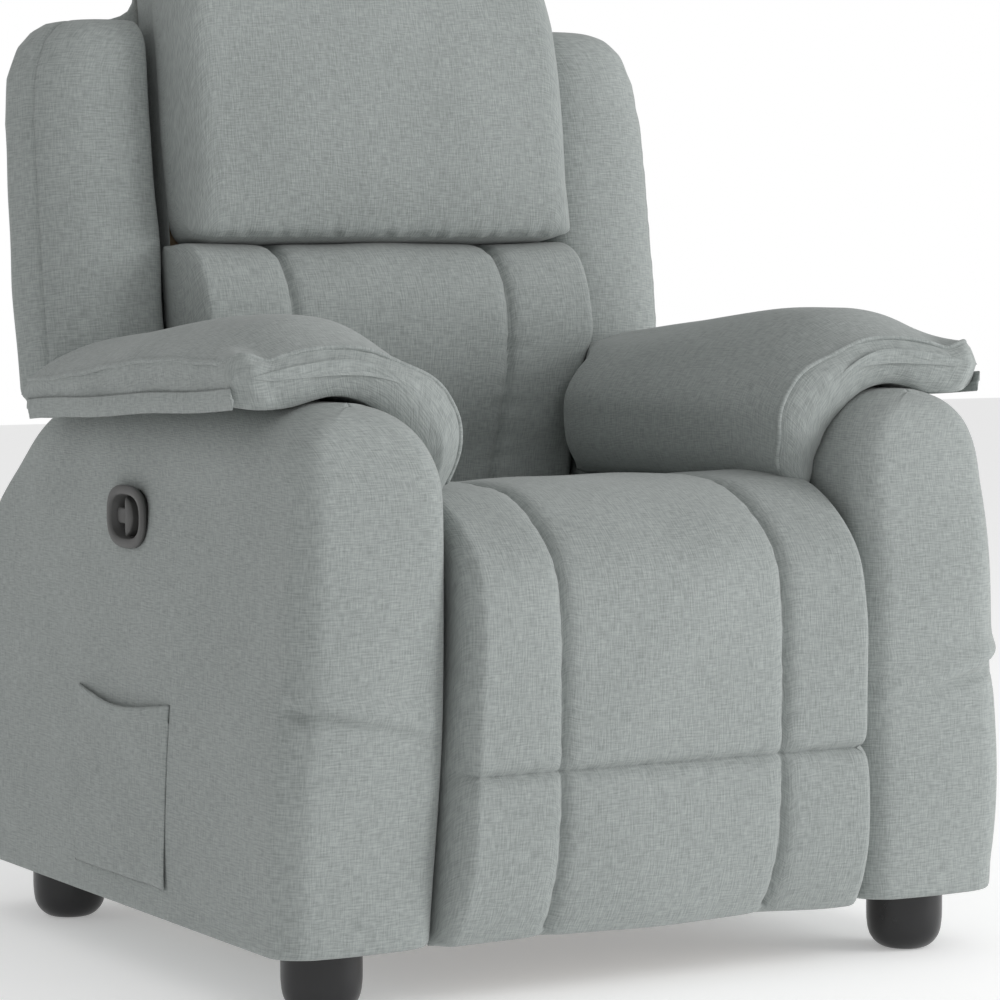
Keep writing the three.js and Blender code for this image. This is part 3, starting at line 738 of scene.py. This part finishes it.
# %% Head pillow
pillow_front = [(-0.088, 0.3345), (-0.096, 0.340), (-0.1005, 0.353), (-0.1035, 0.376), (-0.105, 0.42),
                (-0.105, 0.47), (-0.1025, 0.53), (-0.096, 0.582), (-0.081, 0.620), (-0.056, 0.640),
                (-0.028, 0.6455), (-0.004, 0.640), (0.0075, 0.626), (0.0075, 0.603)]
pillow_rear = [(-0.088, 0.3345), (-0.070, 0.3325), (-0.040, 0.332), (-0.020, 0.333), (-0.0155, 0.345),
               (-0.0155, 0.42), (-0.0155, 0.47), (-0.0155, 0.53), (-0.0155, 0.58), (-0.0155, 0.598),
               (-0.010, 0.602), (0.000, 0.602), (0.0075, 0.603)]
PILLOW_POINTS = 190
outline, spine = two_sided(pillow_front, pillow_rear, PILLOW_POINTS, trim=0.07)
across, section, share = carry(outline, spine, -1, 1, 0.17, 2.6, 150, 22)
x = across * np.interp(section[..., 1], [0.34, 0.44, 0.55, 0.60, 0.625, 0.64, 0.65],
                       [0.2155, 0.2185, 0.2160, 0.210, 0.200, 0.187, 0.172])
pillow = on_back(x, section[..., 0], section[..., 1])
normal = outward(pillow, pillow.mean(axis=(0, 1)))
is_face = np.arange(len(outline)) < PILLOW_POINTS
walk = walk_along(outline)
above_seam = walk * is_face
rise = 0.0022 * waves(pillow, 0.15, 41) + puckers(above_seam, x, 0.0016, 5.0)
rise = rise + 0.003 * (1 - (x / 0.21) ** 2) * bump_step(above_seam, 0, 0.08)
pillow = pillow + normal * np.where(is_face, rise, 0)[..., None] * share[..., None]
head_pillow = piece("head_pillow_cover", pillow, CLOTH)
upholster(head_pillow, "back", 0.9, "head_pillow")

# %% [markdown]
# A wing stands on each side of the back. Its level section is a soft wedge: it starts beside the
# cushion, bulges forward, and meets a flat side band at a stitched seam. The section is carried up
# the back, gets narrower near the top and closes there.

# %% Wings
WING_INNER, WING_LOW, WING_HIGH = 0.222, 0.190, 0.559
wing_face = [(0.2225, -0.006), (0.2235, -0.030), (0.231, -0.044), (0.252, -0.0515), (0.280, -0.0525),
             (0.308, -0.0485), (0.332, -0.0385), (0.347, -0.0265), (0.3560, -0.010), (0.3610, 0.006),
             (0.3585, 0.0165)]
wing_rear = [(0.2225, -0.006), (0.2245, 0.006), (0.233, 0.010), (0.252, 0.0105), (0.270, 0.0105),
             (0.290, 0.0105), (0.310, 0.0105), (0.325, 0.0105), (0.3395, 0.0115), (0.349, 0.0150),
             (0.3585, 0.0165)]
WING_POINTS = 110


def wing(side, sign):
    """The wedge carried up the back; x is squeezed towards the inner edge near the rounded top."""
    outline, spine = two_sided(wing_face, wing_rear, WING_POINTS)
    up, section, share = carry(outline, spine, WING_LOW, WING_HIGH, (0.012, 0.030), 2.0, 150, 14)
    reach = np.interp(up, [0.19, 0.30, 0.46, 0.505, 0.535, 0.551, 0.559],
                      [1, 1.012, 1.0, 0.95, 0.86, 0.76, 0.66])
    x = WING_INNER + (section[..., 0] - WING_INNER) * reach
    rearward = section[..., 1] * (1 - 0.10 * bump_step(up, 0.50, 0.56))
    points = on_back(x, rearward, up)
    normal = outward(points, points.mean(axis=(0, 1)))
    walk = walk_along(outline)
    seam = walk[np.argmin(np.linalg.norm(outline[:WING_POINTS] - (0.347, -0.0265), axis=1))]
    from_seam = np.abs(walk - seam)
    pull = 0.0038 * np.exp(-from_seam / 0.0035) - puckers(from_seam, up, 0.0006, 6.0 + sign)
    rise = 0.0018 * waves(points, 0.15, 51 if sign > 0 else 52) - pull
    points = points + normal * (rise * bump_step(share, 0, 0.5))[..., None]
    return piece(f"wing_cover_{side}", points * (sign, 1, 1), CLOTH)


for side, sign in SIDES:
    wing_piece = wing(side, sign)
    upholster(wing_piece, "back", 0.85, f"wing_{side}")

# %% [markdown]
# The rear of the back and the panel below it are thin padded boards. Each is an outline seen from
# behind, carried through a centimetre or two of depth, with soft edges.

# %% Rear panels
def board(name, half_outline, low, high, edge, place):
    """A flat padded board: the half outline runs from the bottom middle to the top middle, and the
    other half mirrors it. `place` turns (x, depth, height) into points of the room."""
    right = np.asarray(half_outline, float)
    left = right * (-1, 1)
    outline, spine = two_sided(right, left, 120, trim=0.04)
    spine[:, 0] = 0
    depth, section, share = carry(outline, spine, low, high, edge, 2.6, 8, 16)
    return piece(name, place(section[..., 0], depth, section[..., 1]), CLOTH)


back_outline = [(0, 0.041), (0.19, 0.041), (0.204, 0.050), (0.2045, 0.165), (0.216, 0.184), (0.322, 0.192),
                (0.337, 0.21), (0.3395, 0.30), (0.334, 0.49), (0.316, 0.535), (0.292, 0.556), (0.228, 0.570),
                (0.211, 0.585), (0.2085, 0.603), (0.200, 0.613), (0.185, 0.6165), (0, 0.6175)]
back_panel = board("back_panel_cover", back_outline, 0.0108, 0.0275, 0.0075, on_back)
upholster(back_panel, "back", 0.5, "back_rear_panel")
kick_panel = board("kick_panel_cover",
                   [(0, 0.062), (0.21, 0.062), (0.2225, 0.073), (0.2228, 0.285), (0.212, 0.318),
                    (0.2065, 0.335), (0.2065, 0.385), (0.195, 0.399), (0, 0.399)],
                   0.2055, 0.2195, 0.006, at_depth)
upholster(kick_panel, "base", 0.5, "rear_kick_panel")

# %% [markdown]
# From behind and from the side the plywood rails of the back would show between the cushions and
# the wings. On the chair a strip of the same cloth is stapled over each rail, so a thin padded
# strip covers it here, from the hinge up to the back of the pillow.

# %% Strips over the back's side rails
def rail_strip(side, sign):
    """A thin upright sheet beside the rail, as tall as the rail, with rounded edges."""
    front = [(-0.010, 0.036), (-0.0285, 0.040), (-0.0295, 0.30), (-0.0285, 0.594), (-0.010, 0.598)]
    rear = [(-0.010, 0.036), (0.0080, 0.040), (0.0095, 0.30), (0.0080, 0.594), (-0.010, 0.598)]
    outline, spine = two_sided(front, rear, 90, trim=0.03)
    across, section, share = carry(outline, spine, 0.2092, 0.2112, 0.0009, 2.0, 6, 6)
    points = on_back(across, section[..., 0], section[..., 1])
    return piece(f"rail_strip_{side}", points * (sign, 1, 1), CLOTH)


for side, sign in SIDES:
    strip = rail_strip(side, sign)
    upholster(strip, "back", 0.2)

# %% [markdown]
# The side pocket is a patch of the same cloth, sewn to the outside of the right arm on three sides.
# Its open top sags a little and stands off the arm. It is drawn as a thin closed shell: a front
# sheet and, 1.5 mm behind it, a rear one.

# %% Side pocket
POCKET_FRONT, POCKET_REAR, POCKET_LOW, POCKET_HIGH = -0.209, -0.011, 0.087, 0.2535


def pocket_shell():
    """Rows run up the pocket. It stands off by a bulge that grows to the top and dies at its sides."""
    half = 90
    t = np.linspace(0, 1, half)
    outline = np.concatenate([t, t[-2:0:-1]])
    outer = np.concatenate([np.ones(half), np.zeros(half - 2)])
    rise = np.linspace(0, 1, 80)[:, None]
    depth = POCKET_FRONT + (POCKET_REAR - POCKET_FRONT) * outline[None, :]
    sag = 0.010 * np.sin(math.pi * outline)[None, :] ** 1.2 * rise**6
    height = POCKET_LOW + (POCKET_HIGH - POCKET_LOW) * rise - sag
    wall = np.interp(height, arm_outside[:, 0], arm_outside[:, 1]) + 0.0022
    bulge = 0.0062 * np.sin(math.pi * outline)[None, :] ** 0.6 * rise**1.6
    hem = 0.0016 * bump_step(rise, 0.895, 0.905)
    edge = np.sin(math.pi * outline)[None, :] ** 0.25 * np.clip(rise / 0.02, 0, 1)
    x = wall + bulge + outer[None, :] * (0.0006 + 0.0012 * edge + hem)
    x = x + 0.0007 * waves(at_depth(x, depth, height), 0.05, 61)
    closing = np.zeros((80, 1))
    closing[0] = closing[-1] = 1
    middle = (x + x[:, (-np.arange(x.shape[1])) % x.shape[1]]) / 2
    return at_depth(x + (middle - x) * closing, np.broadcast_to(depth, x.shape), height)


pocket = piece("side_pocket_cloth", pocket_shell() * (-1, 1, 1), CLOTH)
upholster(pocket, "base", 0.05, "side_pocket")

# %% [markdown]
# The release handle sits in an oval cup of grey plastic, sunk into the right arm. A hole is cut in
# the arm cover first, a little smaller than the cup. The cup is one profile carried around an
# oval: up the outside, over a broad rim, down the wall of the dish and in to the middle.

# %% Hole in the right arm
cup_low, cup_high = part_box("handle_bezel")
CUP_DEPTH = (cup_low.y + cup_high.y) / 2 - DEPTH_LINE
CUP_HEIGHT = (cup_low.z + cup_high.z) / 2
CUP_FACE, CUP_FLOOR = 0.3680, 0.3475
CUP_LONG, CUP_TALL = 0.0380, 0.0268


def oval(long, tall, count=96, power=2.7):
    """A superellipse: each half axis times a power of the sine or cosine, signs kept."""
    turn = np.linspace(0, 2 * math.pi, count, endpoint=False)
    c, s = np.cos(turn), np.sin(turn)
    return long * np.sign(c) * np.abs(c) ** (2 / power), tall * np.sign(s) * np.abs(s) ** (2 / power)


def oval_stack(steps):
    """Rows of ovals; each step gives (x, how much smaller than the cup, share of the oval kept)."""
    rows = [(x, *oval(CUP_LONG - inset, CUP_TALL - inset), share) for x, inset, share in steps]
    return np.stack([at_depth(np.full(96, x), CUP_DEPTH + share * along, CUP_HEIGHT + share * up)
                     for x, along, up, share in rows])


cutter = piece("cup_cutter", oval_stack([(0.335, 0.0012, 0), (0.335, 0.0012, 1), (0.400, 0.0012, 1),
                                         (0.400, 0.0012, 0)]) * (-1, 1, 1), CLOTH)
cut = arm_covers["right"].modifiers.new("cup hole", "BOOLEAN")
cut.object, cut.operation, cut.solver = cutter, "DIFFERENCE", "EXACT"
bpy.context.view_layer.update()
evaluated = arm_covers["right"].evaluated_get(bpy.context.evaluated_depsgraph_get())
cut_mesh = bpy.data.meshes.new_from_object(evaluated)
arm_covers["right"].modifiers.clear()
arm_covers["right"].data = cut_mesh
bpy.data.objects.remove(cutter)
for side, cover_piece in arm_covers.items():
    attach(cover_piece, "base")
print("right arm cover", len(cut_mesh.polygons), "faces")

# %% Cup and lever
cup_steps = [(CUP_FLOOR - 0.003, 0.004, 0), (CUP_FLOOR - 0.003, 0.004, 1), (CUP_FACE - 0.004, 0.0014, 1),
             (CUP_FACE - 0.0035, -0.0018, 1), (CUP_FACE - 0.001, -0.0022, 1), (CUP_FACE + 0.0004, -0.0014, 1),
             (CUP_FACE + 0.0012, 0.0010, 1), (CUP_FACE + 0.0012, 0.0045, 1), (CUP_FACE + 0.0004, 0.0062, 1),
             (CUP_FACE - 0.001, 0.0068, 1), (CUP_FLOOR + 0.002, 0.0085, 1), (CUP_FLOOR, 0.0105, 1),
             (CUP_FLOOR, 0.0105, 0)]
cup = piece("handle_cup", oval_stack(cup_steps) * (-1, 1, 1), GREY)
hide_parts("handle_bezel")
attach(cup, "base")


def slab(name, near, far, thickness, edge, material):
    """A moulded bar seen from the side: the outline between two (depth, height) lines, carried
    through its thickness in x, with rounded edges."""
    outline, spine = two_sided(near, far, 40, trim=0.12)
    across, section, share = carry(outline, spine, *thickness, edge, 2.2, 6, 6)
    return piece(name, at_depth(across, section[..., 0], section[..., 1]) * (-1, 1, 1), material)


def lever_line(*points):
    """Points of the lever's side view, measured from the middle of the cup."""
    return np.array(points) + (CUP_DEPTH, CUP_HEIGHT)


paddle = slab("lever_paddle",
              lever_line((0.001, -0.0185), (-0.0055, -0.013), (-0.009, -0.0065), (-0.0105, 0.0),
                         (-0.009, 0.0065), (-0.0055, 0.013), (0.001, 0.0185)),
              lever_line((0.001, -0.0185), (0.004, -0.015), (0.005, -0.008), (0.005, 0.0),
                         (0.005, 0.008), (0.004, 0.015), (0.001, 0.0185)), (0.3545, 0.3670), 0.003, GREY)
stem = slab("lever_stem",
            lever_line((0.002, -0.007), (0.002, 0.0), (0.002, 0.007)),
            lever_line((0.002, -0.007), (0.022, -0.007), (0.0265, -0.003), (0.0265, 0.003),
                       (0.022, 0.007), (0.002, 0.007)), (0.3545, 0.3645), 0.002, GREY)
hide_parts("release_lever")
for part in (paddle, stem):
    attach(part, "lever")

# %% [markdown]
# The feet are short moulded cylinders with a rounded lower edge. A profile turned around the
# foot's own axis gives each of them.

# %% Feet
foot_profile = smooth_line([(0.0005, 0.0), (0.012, 0.0), (0.021, 0.0012), (0.0285, 0.0065), (0.0335, 0.0150),
                            (0.0355, 0.027), (0.0358, 0.042), (0.0356, 0.0575), (0.0345, 0.0577),
                            (0.0005, 0.0577)], 60)


def foot(place, side, sign):
    """The profile's radius and height turned through 72 steps, closed to a point at both ends."""
    low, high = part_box(f"foot_{place}_{side}")
    turn = np.linspace(0, 2 * math.pi, 72, endpoint=False)[None, :]
    radius = foot_profile[:, :1].copy()
    radius[0] = radius[-1] = 0
    x = (low.x + high.x) / 2 + radius * np.cos(turn)
    y = (low.y + high.y) / 2 + radius * np.sin(turn)
    z = np.broadcast_to(low.z + np.maximum(foot_profile[:, 1:], 0), x.shape)
    turned = piece(f"foot_cap_{place}_{side}", np.stack([x, y, z], axis=-1), BLACK)
    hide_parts(f"foot_{place}_{side}")
    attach(turned, "base")


for place in ("front", "rear"):
    for side, sign in SIDES:
        foot(place, side, sign)

# %% [markdown]
# The studio is a pale floor, an even white surround and two soft lamps. The stronger lamp stands
# in front of the chair on its left, so the arm with the handle stays a little darker.

# %% Floor, lamps and camera
def area_lamp(name, place, aim, size, power):
    """A square lamp at `place` that faces `aim`."""
    data = bpy.data.lights.new(name, "AREA")
    data.shape, data.size, data.energy = "SQUARE", size, power
    lamp = bpy.data.objects.new(name, data)
    lamp.location = place
    direction = np.subtract(aim, place)
    flat = math.hypot(direction[0], direction[1])
    tip, turn = math.atan2(direction[2], flat), math.atan2(-direction[0], direction[1])
    lamp.rotation_euler = (math.pi / 2 + tip, 0, turn)
    bpy.context.scene.collection.objects.link(lamp)


area_lamp("key_lamp", (3.2, -2.35, 1.25), (0, 0, 0.5), 1.8, 81)
area_lamp("fill_lamp", (0.5, -3.1, 3.3), (0, 0, 0.7), 2.2, 16)

world = bpy.data.worlds.new("studio")
bpy.context.scene.world = world
world.use_nodes = True
surround = world.node_tree.nodes["Background"]
surround.inputs["Color"].default_value = (1, 1, 1, 1)
is_seen = world.node_tree.nodes.new("ShaderNodeLightPath").outputs["Is Camera Ray"]
glow = maths(world.node_tree, "ADD", maths(world.node_tree, "MULTIPLY", is_seen, 0.45), 0.55)
world.node_tree.links.new(glow, surround.inputs["Strength"])

floor_mesh = bpy.data.meshes.new("floor")
floor_mesh.from_pydata([(-9, -9, 0), (9, -9, 0), (9, 9, 0), (-9, 9, 0)], [], [(0, 1, 2, 3)])
floor_white, _, floor_shader = new_material("floor_white", (0.9, 0.9, 0.9), 0.9)
floor_shader.inputs["Emission Color"].default_value = (1, 1, 1, 1)
floor_shader.inputs["Emission Strength"].default_value = 0.3
floor_mesh.materials.append(floor_white)
floor = bpy.data.objects.new("floor", floor_mesh)
bpy.context.scene.collection.objects.link(floor)

EYE = (-1.8188, DEPTH_LINE - 3.3260, 0.6807)
AIM = (0.0616, DEPTH_LINE - 0.0384, 0.4107)
camera_data = bpy.data.cameras.new("camera")
camera_data.lens, camera_data.sensor_width = 139.2, 36
camera = bpy.data.objects.new("camera", camera_data)
camera.location = EYE
sight = np.subtract(AIM, EYE)
camera.rotation_euler = (math.pi / 2 + math.atan2(sight[2], math.hypot(sight[0], sight[1])), 0,
                         math.atan2(-sight[0], sight[1]))
bpy.context.scene.collection.objects.link(camera)
bpy.context.scene.camera = camera
bpy.context.scene.view_settings.view_transform = "Standard"
print("camera", round(math.dist(EYE, AIM), 3), "m away")
